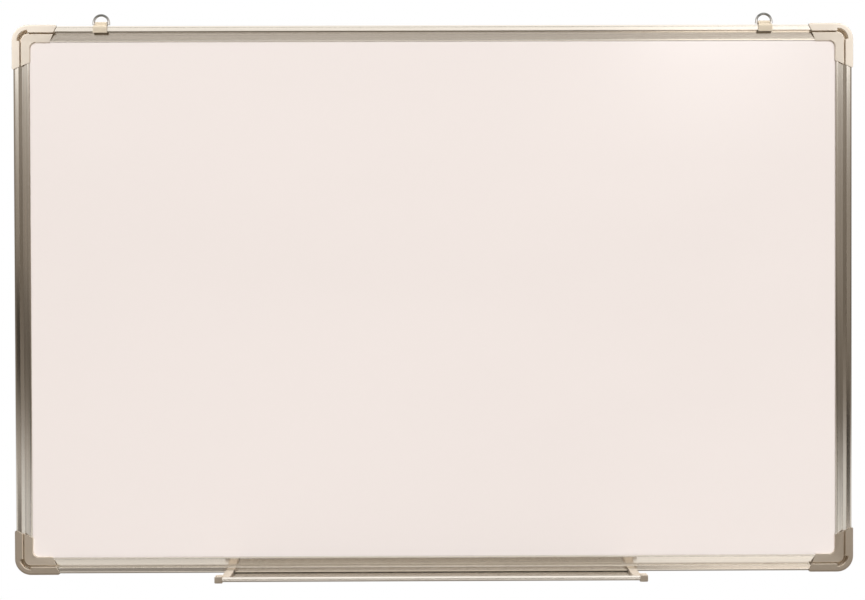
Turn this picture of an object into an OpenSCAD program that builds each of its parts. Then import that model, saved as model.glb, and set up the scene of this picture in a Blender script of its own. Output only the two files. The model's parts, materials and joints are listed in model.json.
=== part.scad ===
// Wall whiteboard: a steel faced panel in a frame of one aluminium extrusion, with moulded corner
// caps, two sliding hangers on the top rail and a sliding pen tray on the bottom rail.
// Millimetres. The origin is the middle of the wall plane, which the four corner caps touch.
// The board faces -Y, +X is to the right and +Z is up.
// A rail section is drawn in two coordinates: across, from the rail's outer edge towards the middle
// of the board, and depth, from the wall towards the viewer.

/* [Board] */
// Width over the rails
board_w = 900; // [600:10:1800]
// Height over the rails
board_h = 588; // [400:2:1200]

/* [Panel] */
// Lacquered steel writing sheet
sheet_t = 0.4; // [0.3:0.1:1]
// Pressed core board
core_t = 8.1; // [6.5:0.1:14]
// Zinc coated back sheet
back_t = 0.3; // [0.2:0.1:0.8]
// Gap between the panel's edge and the web of the rail
panel_gap = 0.4; // [0.2:0.1:1]

/* [Rail extrusion] */
// Width of the rail from its outer edge to its inner lip
rail_w = 16.9; // [16:0.1:26]
// Wall of the extrusion
rail_wall = 1.2; // [1:0.1:1.5]
// Width of the round edged head along the outer edge
head_w = 6.2; // [6:0.1:7]
// Height of the head above the writing face
head_rise = 5; // [4.6:0.1:7]
// Depth that the head's rear stands in from the rail's rear
head_step = 2.2; // [2:0.1:3]
// Radius of the head's front outer edge
head_r = 2.4; // [1:0.1:2.6]
// Radius of the head's other edges
edge_r = 0.8; // [0.4:0.1:1]
// Width of the groove between the head and the inner band
groove_w = 2.8; // [2.6:0.1:3.4]
// Depth of that groove below the head
groove_depth = 3.9; // [3.4:0.1:4.4]
// Share of that groove's width that is flat
groove_flat_share = 0.55; // [0.3:0.05:0.8]
// Width of the groove behind the head
rear_groove_w = 2; // [1.8:0.1:2.4]
// Depth of that groove
rear_groove_depth = 2.5; // [2.2:0.1:3]
// Height of the inner lip's edge above the writing face
lip_t = 1.2; // [0.8:0.1:2]
// Rise of the inner band from the lip to the groove
band_rise = 1.9; // [0.8:0.1:2.2]
// Width of the pad under the lip that presses on the writing face
lip_pad = 1.2; // [0.8:0.1:2]
// Length by which the rear lip is shorter than the front one
rear_lip_short = 1; // [0:0.1:3]
// Width of the slot along the outer edge
slot_w = 4.4; // [3.6:0.1:5]

/* [Corner caps] */
// Length of a cap's leg along the rail's outer edge
leg_len = 47.9; // [45:0.1:80]
// Angle at which a leg's end is cut back
leg_slant = 27; // [0:1:30]
// Radius of the outer corner of that end
leg_end_r = 2; // [0.5:0.1:3]
// Wall of the cap outside the rail
cap_wall = 1.3; // [1:0.1:2]
// Wall of the cap behind the rail
cap_back = 1.5; // [1.3:0.1:2.5]
// Wall of the cap in front of the rail
cap_skin = 1.2; // [0.9:0.1:1.8]
// Length by which the cap reaches past the rail's inner lip
cap_reach = 0.5; // [0.3:0.1:1.5]
// Outer corner radius of the cap
cap_r = 17.5; // [16:0.1:19]
// Width of the cap's outer band round the corner
corner_band_w = 6; // [4.5:0.1:7]
// Radius of the cap's inner corner
inner_r = 6.5; // [3:0.1:8]
// Width of the line between the cap's two bands
line_w = 1.6; // [0.8:0.1:1.7]
// Depth of that line below the inner band
line_depth = 1.6; // [0.3:0.1:1.7]
// Width of the floor of the arc at the cap's corner
arc_w = 2.3; // [1.5:0.1:2.8]
// Depth of that floor below the inner band
arc_depth = 3.2; // [1:0.1:3.6]
// Distance from the board's corner to the square cut end of each rail
setback = 20; // [19.5:0.1:24]
// Gap between the cap and the pieces that it covers
cap_gap = 0.1; // [0.05:0.05:0.2]

/* [Corner keys and screws] */
// Length of a key's tongue inside each rail
tongue_len = 26; // [18:0.5:26]
// Gap between a key and the rail's chamber
key_gap = 0.1; // [0.05:0.05:0.2]
// Distance from a rail's end to its screw
screw_in = 12; // [8:0.5:16]
// Radius of a screw's shank
screw_r = 1.45; // [1.2:0.05:1.6]
// Radius of a screw's head
screw_head_r = 2.6; // [2.2:0.1:2.8]
// Height of a screw's head
screw_head_h = 1.6; // [1.2:0.1:1.8]
// Depth of the head below the wall plane
screw_sink = 0.3; // [0.1:0.1:0.5]
// Depth that the screw bites into the key
screw_bite = 6; // [3:0.5:8]
// Half length of the cross recess in a screw's head
recess_half = 1.5; // [1:0.1:1.8]
// Width of that recess
recess_w = 0.8; // [0.5:0.1:1]
// Gap round a screw's shank and head
screw_gap = 0.25; // [0.1:0.05:0.4]
// Gap round the shank in the key
thread_gap = 0.05; // [0.02:0.01:0.1]

/* [Hangers] */
// Distance of each hanger from the board's side edge
hanger_in = 93.5; // [92:0.5:270]
// Width of the clip's arms
clip_w = 15; // [14:0.5:24]
// Wall of the clip
clip_t = 1.1; // [0.9:0.1:1.3]
// Gap between the clip and the rail's head
clip_gap = 0.3; // [0.2:0.05:0.4]
// Thickness of the clip's hooks
hook_t = 1.1; // [0.8:0.1:1.2]
// Radius of the ring's wire
wire_r = 1.3; // [0.9:0.05:1.4]
// Radius of the ring at the middle of its wire
ring_r = 8.2; // [7:0.1:12]
// Length of the ring's straight legs above their turned in ends
ring_leg = 1; // [0.2:0.1:6]
// Radius of the ring's turned in ends
pivot_r = 1.05; // [0.8:0.05:1.1]
// Running gap round those ends
pivot_gap = 0.05; // [0.02:0.01:0.08]
// Wall of the lug round those ends
lug_wall = 0.9; // [0.7:0.1:1]
// Length of those ends inside the clip
pivot_len = 3.4; // [2:0.1:4.5]
// Gap between the ring and the clip wherever it swings
ring_gap = 0.35; // [0.3:0.05:0.8]

/* [Pen tray] */
// Length of the tray extrusion
tray_len = 439; // [200:1:640]
// Place of the tray's middle along the rail
tray_x = -3.7; // [-80:0.1:80]
// Wall of the tray
tray_t = 1.3; // [1:0.1:1.4]
// Distance from the front of the rail to the front of the tray
tray_reach = 38.5; // [28:0.5:70]
// Height of the front lip above the tray's floor
tray_lip_h = 3.6; // [2.5:0.1:12]
// Thickness of the front lip
tray_lip_t = 2.2; // [1.6:0.1:3]
// Half of the angle through which the front lip is rounded
tray_lip_turn = 60; // [20:5:65]
// Size of the cove between the floor and the front lip
tray_cove = 0.9; // [0.5:0.1:1.4]
// Gap between the tray and the rail
tray_gap = 0.4; // [0.3:0.05:0.6]
// Thickness of the runner's flange inside the rail
runner_t = 1.6; // [1.2:0.1:2]
// Thickness of the plug that fills the tray's end
plug_t = 7.6; // [3:0.1:12]
// Thickness of the plate over the tray's end
end_plate_t = 1.2; // [0.8:0.1:2]
// Length of the knob at the lip's end
knob_len = 7.8; // [4:0.1:14]
// Depth of the knob from front to rear
knob_depth = 8.5; // [6:0.1:14]
// Margin by which the knob is larger than the lip
knob_margin = 1.3; // [0.8:0.1:2]
// Edge radius of the knob
knob_r = 1.4; // [0.8:0.1:1.8]
// Radius of the hollow between the knob and the plate
hollow_r = 5; // [2:0.1:6]

/* [Hidden] */
$fn = 48;
arc_steps = 6;
cut = 1;

// Depths from the wall
rail_back = cap_back;
panel_back = rail_back + rail_wall;
back_face = panel_back + back_t;
core_face = back_face + core_t;
face = core_face + sheet_t;
head_back = rail_back + head_step;
head_front = face + head_rise;
head_mid = (head_back + head_front) / 2;
groove_floor = head_front - groove_depth;
rear_groove_floor = head_back + rear_groove_depth;
lip_front = face + lip_t;
band_top = lip_front + band_rise;
cap_front = head_front + cap_skin;

// Places across the rail
groove_end = head_w + groove_w;
groove_flat = head_w + groove_w * groove_flat_share;
rear_groove_end = head_w + rear_groove_w;
channel = groove_end + rail_wall;
panel_edge = channel + panel_gap;
rear_lip_end = rail_w - rear_lip_short;
cap_in = rail_w + cap_reach;
cap_band_end = head_w + cap_gap + cap_skin;
cap_inner_front = lip_front + cap_skin;
corner_c = cap_r - cap_wall;
corner_in = cap_r - corner_band_w;
line_floor = band_top + cap_skin - line_depth;
corner_floor = band_top + cap_skin - arc_depth;

// The chamber inside the head, which the keys and the tray's runner use
chamber_out = rail_wall;
chamber_in = head_w - rail_wall;
chamber_back = head_back + rail_wall;
chamber_front = head_front - rail_wall;

// The keys stay clear of the floor of the arc in the caps
key_front = corner_floor - cap_skin;

// The screws
screw_at = setback + screw_in;
screw_across = (chamber_out + chamber_in) / 2;
screw_seat = screw_sink + screw_head_h;

// The hangers
hanger_x = board_w / 2 - hanger_in;
lug_r = pivot_r + pivot_gap + lug_wall;
pivot_up = clip_gap + clip_t + ring_gap + wire_r;
lug_half = sqrt(pow(ring_r - wire_r - ring_gap, 2) - pow(max(lug_r - ring_leg, 0), 2));
clip_back = head_back - clip_gap - clip_t;
clip_front = head_front + clip_gap + clip_t;
hook_start = head_w + clip_gap;
hook_end = hook_start + hook_t;

// The pen tray
tray_top = -tray_gap;
tray_under = tray_top - tray_t;
tray_front = head_front + tray_reach;
tray_lip_top = tray_top + tray_lip_h;
lip_back = tray_front - tray_lip_t;
lip_mid = (tray_under + tray_lip_top) / 2;
lip_r = (tray_lip_top - tray_under) / 2 / sin(tray_lip_turn);
runner_back = chamber_back + tray_gap;
runner_front = chamber_front - tray_gap;
runner_low = chamber_out + tray_gap;
stem_w = slot_w - 2 * tray_gap;
plug_back = head_front + tray_gap;
knob_low = tray_under - knob_margin;
knob_high = tray_lip_top + knob_margin;
knob_front = tray_front + knob_margin / 2;
knob_back = knob_front - knob_depth;

aluminium = [0.72, 0.7, 0.66];
beige = [0.9, 0.85, 0.77];
lacquer = [0.95, 0.92, 0.9];
fibre = [0.62, 0.5, 0.36];
zinc = [0.66, 0.68, 0.7];
steel = [0.5, 0.5, 0.5];

// Points on an arc about a centre, from one angle to another
function arc(centre, r, from, to) =
    [for (i = [0 : arc_steps]) centre + r * [cos(from + (to - from) * i / arc_steps),
                                             sin(from + (to - from) * i / arc_steps)]];

// Half the board's size across the side that a quarter turn brings to the top
function half_up(turn) = (turn % 2 == 0 ? board_h : board_w) / 2;
function half_across(turn) = half_up(turn + 1);

// Depth of the inner band's front at a place across the rail
function band_at(across) = lip_front + band_rise * (rail_w - across) / (rail_w - groove_end);

// Depth of the front of a cap's inner band at a place across the rail
function cap_inner_at(across) =
    let (start = cap_band_end + line_w, end = cap_in - edge_r, high = band_top + cap_skin)
    high + (cap_inner_front + edge_r / 4 - high) * (across - start) / (end - start);

// Draws a rail section along the top edge, then brings it to one of the four sides
module on_side(turn) {
    rotate([0, 90 * turn, 0]) translate([0, 0, half_up(turn)]) children();
}

// Extrudes a section along X
module along_x(length) {
    rotate([180, 90, 0]) linear_extrude(length, center = true) children();
}

// Brings a corner piece, drawn at the top right corner, to one of the four corners
module on_corner(turn) {
    rotate([0, 90 * turn, 0]) translate([half_across(turn), 0, half_up(turn)]) children();
}

// Extrudes a front outline from one depth to another, measured in from the top right corner
module from_wall(near, far) {
    rotate([-90, 0, 180]) translate([0, 0, near]) linear_extrude(far - near) children();
}

// Extrudes a section along the leg of a corner piece, from one distance to another
module along_leg(start, end) {
    rotate([180, 90, 0]) translate([0, 0, start]) linear_extrude(end - start) children();
}

// Revolves a section through the quarter turn of a corner
module round_corner() {
    rotate([-90, 0, 180]) translate([corner_c, corner_c, 0])
        rotate(180) rotate_extrude(angle = 90) children();
}

// The same leg on both sides of a corner
module both_legs() {
    children();
    mirror([1, 0, -1]) children();
}

// A rectangle between two corners
module area(low, high) {
    translate(low) square(high - low);
}

// Outer outline of the rail
module rail_outline() {
    polygon(concat(
        arc([edge_r, head_back + edge_r], edge_r, 270, 180),
        arc([head_r, head_front - head_r], head_r, 180, 90),
        arc([head_w - edge_r, head_front - edge_r], edge_r, 90, 0),
        [[head_w, groove_floor], [groove_flat, groove_floor]],
        [[groove_end, band_top - edge_r / 2], [groove_end + edge_r / 2, band_at(groove_end + edge_r / 2)]],
        [[rail_w - edge_r / 2, band_at(rail_w - edge_r / 2)], [rail_w, lip_front - edge_r / 2]],
        [[rail_w, face], [rail_w - lip_pad, face], [rail_w - lip_pad, face + lip_t / 4]],
        [[channel, band_at(channel) - rail_wall], [channel, panel_back], [rear_lip_end, panel_back]],
        [[rear_lip_end, rail_back], [rear_groove_end, rail_back], [rear_groove_end, rear_groove_floor]],
        [[head_w, rear_groove_floor], [head_w, head_back]]
    ));
}

// Hollow rail section with the slot along its outer edge
module rail_section() {
    difference() {
        rail_outline();
        area([chamber_out, chamber_back], [chamber_in, chamber_front]);
        area([chamber_in - cut, rear_groove_floor + rail_wall], [groove_end, groove_floor - rail_wall]);
        area([-cut, head_mid - slot_w / 2], [chamber_out + cut, head_mid + slot_w / 2]);
    }
}

// One rail, cut square, with a screw hole near each end
module rail(turn) {
    length = 2 * (half_across(turn) - setback);
    color(aluminium) on_side(turn) difference() {
        along_x(length) rail_section();
        for (side = [-1, 1])
            translate([side * (length / 2 - screw_in), -head_back + cut, -screw_across])
                rotate([90, 0, 0]) cylinder(r = screw_r + screw_gap, h = rail_wall + 2 * cut);
    }
}

// A layer of the panel between two depths
module panel_layer(near, far) {
    translate([-board_w / 2 + panel_edge, -far, -board_h / 2 + panel_edge])
        cube([board_w - 2 * panel_edge, far - near, board_h - 2 * panel_edge]);
}

module writing_sheet() { color(lacquer) panel_layer(core_face, face); }
module core_board() { color(fibre) panel_layer(back_face, core_face); }
module back_sheet() { color(zinc) panel_layer(panel_back, back_face); }

// Outer section of a cap's leg: outer band, line and inner band
module cap_section() {
    polygon(concat(
        [[cap_in, 0], [edge_r - cap_wall, 0], [-cap_wall, edge_r]],
        arc([head_r - cap_wall, cap_front - head_r], head_r, 180, 90),
        arc([cap_band_end - edge_r, cap_front - edge_r], edge_r, 90, 0),
        [[cap_band_end, line_floor], [cap_band_end + line_w, band_top + cap_skin]],
        [[cap_in - edge_r, cap_inner_front + edge_r / 4], [cap_in, cap_inner_front - edge_r / 2]]
    ));
}

// Section of the cap round the corner, by radius: the line between the bands widens to an arc
module cap_corner_section() {
    line_end = corner_c - cap_band_end - line_w;
    polygon(concat(
        [[0, 0], [cap_r - edge_r, 0], [cap_r, edge_r]],
        arc([cap_r - head_r, cap_front - head_r], head_r, 0, 90),
        arc([corner_in + edge_r, cap_front - edge_r], edge_r, 90, 180),
        [[corner_in, corner_floor], [corner_in - arc_w, corner_floor]],
        [[line_end, cap_inner_at(corner_c - line_end)], [0, cap_inner_at(corner_c)]]
    ));
}

// Fills the cap's inner corner, with its edge carried round the radius
module cap_fillet() {
    centre = cap_in + inner_r;
    from_wall(face, cap_inner_front + edge_r / 4) difference() {
        area([corner_c, corner_c], [centre, centre]);
        translate([centre, centre]) circle(r = inner_r + edge_r);
    }
    rotate([-90, 0, 180]) translate([centre, centre, 0]) rotate(180) rotate_extrude(angle = 90) polygon([
        [inner_r, face], [inner_r, cap_inner_front - edge_r / 2],
        [inner_r + edge_r, cap_inner_front + edge_r / 4],
        [inner_r + 2 * edge_r, cap_inner_front + edge_r / 4],
        [inner_r + 2 * edge_r, face]
    ]);
}

// Space that a rail's end fills inside a leg, which leaves a rib in the rail's groove
module rail_pocket() {
    area([-cap_gap, head_back - cap_gap], [head_w + cap_gap, head_front + cap_gap]);
    area([head_w, rail_back], [cap_in + cut, face]);
    polygon([
        [head_w, face - cut], [head_w, groove_floor + cap_gap],
        [groove_flat - 2 * cap_gap, groove_floor + cap_gap],
        [groove_end - 2 * cap_gap, band_top - edge_r / 2 + cap_gap], [groove_end, band_top + cap_gap],
        [rail_w + cap_gap, lip_front + cap_gap], [rail_w + cap_gap, face - cut]
    ]);
}

// Section of a key's bar, by its distance across the rail
module key_bar(gap) {
    area([chamber_out + key_gap - gap, chamber_back + key_gap - gap],
         [chamber_in - key_gap + gap, key_front + gap]);
}

// A key's whole bent bar, or the space that it needs
module bent_bar(gap, reach) {
    both_legs() along_leg(corner_c, reach) key_bar(gap);
    round_corner() translate([corner_c, 0]) mirror([1, 0]) key_bar(gap);
}

// Stands a cylinder on each of a corner's two screw axes
module on_screws(r, near, far) {
    both_legs() translate([-screw_at, -near, -screw_across])
        rotate([90, 0, 0]) cylinder(r = r, h = far - near);
}

// Outside of a cap before it is hollowed
module cap_body() {
    both_legs() along_leg(corner_c, leg_len) cap_section();
    round_corner() cap_corner_section();
    cap_fillet();
}

// The slanted end of a leg, with its outer corner rounded
module leg_end() {
    far = leg_len + cap_in;
    slant = (cap_in + cap_wall + inner_r) * tan(leg_slant);
    round_start = leg_len - leg_end_r / tan((90 - leg_slant) / 2);
    from_wall(-cut, cap_front + cut) polygon(concat(
        arc([round_start, leg_end_r - cap_wall], leg_end_r, -90, leg_slant),
        [[leg_len - slant, cap_in + inner_r], [far, cap_in + inner_r]],
        [[far, -cap_wall - cut], [round_start, -cap_wall - cut]]
    ));
}

// One moulded cap, hollowed for two rail ends, the panel's corner, the key and the screws
module corner_cap(turn) {
    color(beige) on_corner(turn) difference() {
        cap_body();
        both_legs() leg_end();
        both_legs() along_leg(setback - cap_gap, leg_len + cut) rail_pocket();
        from_wall(panel_back, face) area(
            [panel_edge - panel_gap, panel_edge - panel_gap], [leg_len + cap_in, leg_len + cap_in]);
        bent_bar(key_gap, setback + cut);
        on_screws(screw_r + screw_gap, -cut, head_back);
        on_screws(screw_head_r + screw_gap, -cut, screw_seat);
    }
}

// One key, a bar bent to the corner and drilled for two screws
module corner_key(turn) {
    color(zinc) on_corner(turn) difference() {
        bent_bar(0, setback + tongue_len);
        on_screws(screw_r + thread_gap, chamber_back - cut, chamber_front + cut);
    }
}

// The eight screws, each with a cross recess
module corner_screws() {
    color(steel) for (turn = [0 : 3]) on_corner(turn) difference() {
        union() {
            on_screws(screw_head_r, screw_sink, screw_seat);
            on_screws(screw_r, screw_seat - screw_sink, chamber_back + screw_bite);
        }
        both_legs() for (spin = [0, 90])
            translate([-screw_at, -screw_sink, -screw_across]) rotate([0, spin, 0])
                cube([2 * recess_half, screw_head_h, recess_w], center = true);
    }
}

// The rail's head grown by a margin on its outer side, as far as a place across the rail
module grown_head(margin, end) {
    polygon(concat(
        [[end, head_back - margin]],
        arc([edge_r, head_back + edge_r], edge_r + margin, 270, 180),
        arc([head_r, head_front - head_r], head_r + margin, 180, 90),
        [[end, head_front + margin]]
    ));
}

// Section of the clip: a wall round the rail's head and a hook in the groove on each side of it
module clip_section() {
    difference() {
        grown_head(clip_gap + clip_t, hook_end);
        grown_head(clip_gap, hook_start);
        area([hook_start - cut, rear_groove_floor - clip_gap], [hook_end + cut, groove_floor + clip_gap]);
    }
}

// One clip with its lug for the ring
module hanger_clip(side) {
    color(beige) on_side(0) translate([side * hanger_x, 0, 0]) difference() {
        union() {
            along_x(clip_w) intersection() {
                clip_section();
                area([0, 0], [hook_end, clip_front]);
            }
            along_x(2 * lug_half) {
                clip_section();
                translate([-pivot_up, head_mid]) circle(r = lug_r);
                area([-pivot_up, head_mid - lug_r], [-clip_gap, head_mid + lug_r]);
            }
        }
        along_x(clip_w) translate([-pivot_up, head_mid]) circle(r = pivot_r + pivot_gap);
    }
}

// One ring: a half round of wire on two straight legs, whose ends turn in to the clip
module hanger_ring(side) {
    pin_end = lug_half - pivot_len;
    color(steel) on_side(0) translate([side * hanger_x, -head_mid, pivot_up]) {
        translate([0, 0, ring_leg]) rotate([90, 0, 0])
            rotate_extrude(angle = 180) translate([ring_r, 0]) circle(r = wire_r);
        for (end = [-1, 1]) {
            translate([end * ring_r, 0, -pivot_r]) cylinder(r = wire_r, h = pivot_r + ring_leg);
            rotate([0, end * 90, 0]) translate([0, 0, pin_end]) cylinder(r = pivot_r, h = ring_r - pin_end);
        }
    }
}

// Tray section: floor, front lip and the runner inside the rail's slot
module tray_section() {
    area([tray_under, runner_back], [tray_top, lip_back]);
    polygon(concat(
        [[tray_under, lip_back - tray_cove], [tray_top, lip_back - tray_cove]],
        [[tray_top + tray_cove, lip_back], [tray_lip_top, lip_back]],
        arc([lip_mid, tray_front - lip_r], lip_r, 90 - tray_lip_turn, 90 + tray_lip_turn)
    ));
    area([tray_top - tray_t / 2, head_mid - stem_w / 2], [runner_low + runner_t, head_mid + stem_w / 2]);
    area([runner_low, runner_back], [runner_low + runner_t, runner_front]);
}

module pen_tray() {
    color(aluminium) under_rail() along_x(tray_len) tray_section();
}

// Outline of the knob from the front, by its distance from the tray's end and its height
module knob_outline() {
    polygon(concat(
        [[0, knob_low]],
        arc([knob_len - knob_r, knob_low + knob_r], knob_r, -90, 0),
        arc([knob_len - knob_r, knob_high - knob_r], knob_r, 0, 90),
        [[0, knob_high]]
    ));
}

// Outline of the knob from the side, with its front edges rounded
module knob_side() {
    polygon(concat(
        [[knob_low, knob_back]],
        arc([knob_low + knob_r, knob_front - knob_r], knob_r, 180, 90),
        arc([knob_high - knob_r, knob_front - knob_r], knob_r, 90, 0),
        [[knob_high, knob_back]]
    ));
}

// Hollow between the plate and the rear of the knob, seen from above
module knob_hollow() {
    difference() {
        area([0, -knob_back], [hollow_r, hollow_r - knob_back]);
        translate([hollow_r, hollow_r - knob_back]) circle(r = hollow_r);
    }
}

// Brings a tray piece to its place under the bottom rail
module under_rail() {
    translate([tray_x, 0, 0]) on_side(2) children();
}

// One tray end: a plug on the floor, a plate over the cut end and a knob at the lip
module tray_end(side) {
    end_x = tray_len / 2;
    color(beige) under_rail() mirror([side > 0 ? 1 : 0, 0, 0]) {
        translate([end_x - plug_t / 2, 0, 0])
            along_x(plug_t) polygon([
                [tray_top, plug_back], [tray_top, lip_back - tray_cove], [tray_top + tray_cove, lip_back],
                [tray_lip_top, lip_back], [tray_lip_top, plug_back]
            ]);
        translate([end_x + end_plate_t / 2, 0, 0]) along_x(end_plate_t) {
            area([tray_under, runner_back], [tray_top, tray_front]);
            area([tray_under, plug_back], [tray_lip_top, tray_front]);
        }
        translate([end_x + end_plate_t, 0, -tray_lip_top])
            linear_extrude(tray_lip_top - tray_under) knob_hollow();
        translate([end_x, 0, 0]) intersection() {
            translate([0, -knob_front, 0]) rotate([-90, 0, 0]) linear_extrude(knob_depth) knob_outline();
            translate([knob_len / 2, 0, 0]) along_x(knob_len) knob_side();
        }
    }
}

writing_sheet();
core_board();
back_sheet();
rail(0);  // top_rail
rail(1);  // right_rail
rail(2);  // bottom_rail
rail(3);  // left_rail
corner_cap(0);  // corner_cap_top_right
corner_cap(1);  // corner_cap_bottom_right
corner_cap(2);  // corner_cap_bottom_left
corner_cap(3);  // corner_cap_top_left
corner_key(0);  // corner_key_top_right
corner_key(1);  // corner_key_bottom_right
corner_key(2);  // corner_key_bottom_left
corner_key(3);  // corner_key_top_left
corner_screws();
hanger_clip(-1);  // hanger_clip_left
hanger_clip(1);  // hanger_clip_right
hanger_ring(-1);  // hanger_ring_left
hanger_ring(1);  // hanger_ring_right
pen_tray();
tray_end(-1);  // tray_end_left
tray_end(1);  // tray_end_right
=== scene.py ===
"""Looks for a wall whiteboard: finishes for every piece, smooth copies of the drawn and moulded
pieces with a grain that follows them, and a plain studio with the camera at the photograph's angle.
Metres, in the part's own frame: the board faces -Y, +X is to the right and +Z is up.
"""

import json
import logging
import math
from collections.abc import Callable
from dataclasses import dataclass, replace
from enum import Enum
from functools import partial

import bmesh
import bpy
from mathutils import Matrix, Vector

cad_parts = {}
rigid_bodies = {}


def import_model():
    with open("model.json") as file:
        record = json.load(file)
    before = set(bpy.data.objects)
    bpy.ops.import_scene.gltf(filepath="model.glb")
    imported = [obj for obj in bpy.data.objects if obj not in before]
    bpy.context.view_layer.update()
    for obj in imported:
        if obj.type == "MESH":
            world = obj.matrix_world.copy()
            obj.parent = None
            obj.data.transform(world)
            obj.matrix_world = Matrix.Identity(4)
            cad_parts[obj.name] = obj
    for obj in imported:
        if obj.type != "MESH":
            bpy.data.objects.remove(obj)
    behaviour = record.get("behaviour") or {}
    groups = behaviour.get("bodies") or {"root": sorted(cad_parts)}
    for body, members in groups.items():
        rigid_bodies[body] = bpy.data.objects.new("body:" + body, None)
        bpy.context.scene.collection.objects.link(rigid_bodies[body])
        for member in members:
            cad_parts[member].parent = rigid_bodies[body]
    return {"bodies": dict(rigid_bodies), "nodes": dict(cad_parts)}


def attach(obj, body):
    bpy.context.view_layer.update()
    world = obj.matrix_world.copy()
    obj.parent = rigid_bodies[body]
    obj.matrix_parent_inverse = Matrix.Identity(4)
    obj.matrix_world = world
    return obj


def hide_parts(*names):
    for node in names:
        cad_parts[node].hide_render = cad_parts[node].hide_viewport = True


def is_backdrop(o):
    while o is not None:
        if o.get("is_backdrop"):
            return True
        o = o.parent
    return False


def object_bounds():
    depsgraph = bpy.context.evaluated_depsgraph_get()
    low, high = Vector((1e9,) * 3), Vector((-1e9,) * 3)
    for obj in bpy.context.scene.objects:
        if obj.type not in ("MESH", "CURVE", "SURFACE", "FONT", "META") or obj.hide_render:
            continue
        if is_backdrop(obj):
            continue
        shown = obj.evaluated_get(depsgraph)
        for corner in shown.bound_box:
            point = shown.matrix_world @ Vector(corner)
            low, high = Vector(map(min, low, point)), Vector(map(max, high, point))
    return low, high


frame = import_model()

LOG = logging.getLogger("whiteboard")
GRAIN = "grain"
MM = 0.001

Colour = tuple[float, float, float]
Triple = tuple[float, float, float]
Socket = bpy.types.NodeSocket

WHITE: Colour = (1.0, 1.0, 1.0)
DAYLIGHT: Colour = (0.99, 1.04, 1.13)


class Axis(Enum):
    """Direction along which a drawn piece was pulled through its die."""

    LEVEL = (1.0, 0.0, 0.0)
    UPRIGHT = (0.0, 0.0, 1.0)

    @property
    def vector(self) -> Vector:
        """The direction as a vector."""
        return Vector(self.value)


class Side(Enum):
    """Sides of the board, each with the way from its rail to the board's middle."""

    TOP = (0.0, 0.0, -1.0)
    BOTTOM = (0.0, 0.0, 1.0)
    LEFT = (1.0, 0.0, 0.0)
    RIGHT = (-1.0, 0.0, 0.0)

    @property
    def label(self) -> str:
        """The side in the names of nodes, bodies and pieces."""
        return self.name.lower()

    @property
    def inward(self) -> Vector:
        """The way to the board's middle as a vector."""
        return Vector(self.value)

    @property
    def drawn(self) -> Axis:
        """Direction in which the side's rail was drawn."""
        return Axis.UPRIGHT if self in HANDS else Axis.LEVEL


HANDS = (Side.LEFT, Side.RIGHT)


class Corner(Enum):
    """Corners of the frame, as the names of nodes and pieces have them."""

    TOP_LEFT = "top_left"
    TOP_RIGHT = "top_right"
    BOTTOM_LEFT = "bottom_left"
    BOTTOM_RIGHT = "bottom_right"


class Slot(Enum):
    """Material slots of the record, named when the new pieces are made."""

    ALUMINIUM = "aluminium"
    PLASTIC = "beige_plastic"


@dataclass(frozen=True)
class Span:
    """Start and end of a change, in the units of what it runs over."""

    start: float
    end: float


PATTERN = Span(0.3, 0.7)
WHOLE = Span(0.0, 1.0)


class NodeMaker:
    """Adds nodes to one node tree."""

    def __init__(self, tree: bpy.types.NodeTree) -> None:
        """Keeps the tree."""
        self.tree = tree

    def node(self, kind: str, **settings: object) -> bpy.types.Node:
        """Adds a node.

        Args:
            kind: Blender's type name of the node.
            settings: Properties to set on it.

        Returns:
            The new node.
        """
        made = self.tree.nodes.new(kind)
        for key, value in settings.items():
            setattr(made, key, value)
        return made

    def link(self, source: Socket, target: Socket) -> None:
        """Joins two sockets."""
        self.tree.links.new(source, target)

    def split(self, vector: Socket) -> bpy.types.Node:
        """Splits a vector.

        Args:
            vector: The vector.

        Returns:
            A node with outputs X, Y and Z.
        """
        made = self.node("ShaderNodeSeparateXYZ")
        self.link(vector, made.inputs["Vector"])
        return made

    def sum(self, kind: str, *values: Socket | float) -> Socket:
        """Adds a sum.

        Args:
            kind: Blender's name of the operation.
            values: Sockets or numbers that go into it.

        Returns:
            The result.
        """
        made = self.node("ShaderNodeMath", operation=kind)
        for socket, value in zip(made.inputs, values):
            if isinstance(value, float):
                socket.default_value = value
            else:
                self.link(value, socket)
        return made.outputs["Value"]

    def spread(self, value: Socket, low: float, high: float, span: Span = PATTERN,
               interpolation: str = "LINEAR") -> Socket:
        """Maps a value to a range.

        Args:
            value: What is mapped.
            low: Result at the span's start.
            high: Result at its end.
            span: Values between which the result changes.
            interpolation: Blender's name for the way it changes.

        Returns:
            The mapped value.
        """
        made = self.node("ShaderNodeMapRange", interpolation_type=interpolation)
        made.inputs["From Min"].default_value = span.start
        made.inputs["From Max"].default_value = span.end
        made.inputs["To Min"].default_value = low
        made.inputs["To Max"].default_value = high
        self.link(value, made.inputs["Value"])
        return made.outputs["Result"]

    def mix(self, share: Socket, first: Socket | Colour, second: Socket | Colour) -> Socket:
        """Mixes two colours.

        Args:
            share: Share of the second.
            first: Colour at a share of 0.
            second: Colour at a share of 1.

        Returns:
            The mixed colour.
        """
        made = self.node("ShaderNodeMix", data_type="RGBA")
        ends = [socket for socket in made.inputs if socket.type == "RGBA"]
        for socket, colour in zip(ends, (first, second)):
            if isinstance(colour, tuple):
                socket.default_value = (*colour, 1.0)
            else:
                self.link(colour, socket)
        self.link(share, made.inputs["Factor"])
        return next(socket for socket in made.outputs if socket.type == "RGBA")


def tinted(colour: Colour, share: float) -> Colour:
    """Lightens or darkens a colour.

    Args:
        colour: The colour to start from.
        share: Factor on each channel.

    Returns:
        The changed colour, with no channel above 1.
    """
    return tuple(min(1.0, channel * share) for channel in colour)


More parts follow.
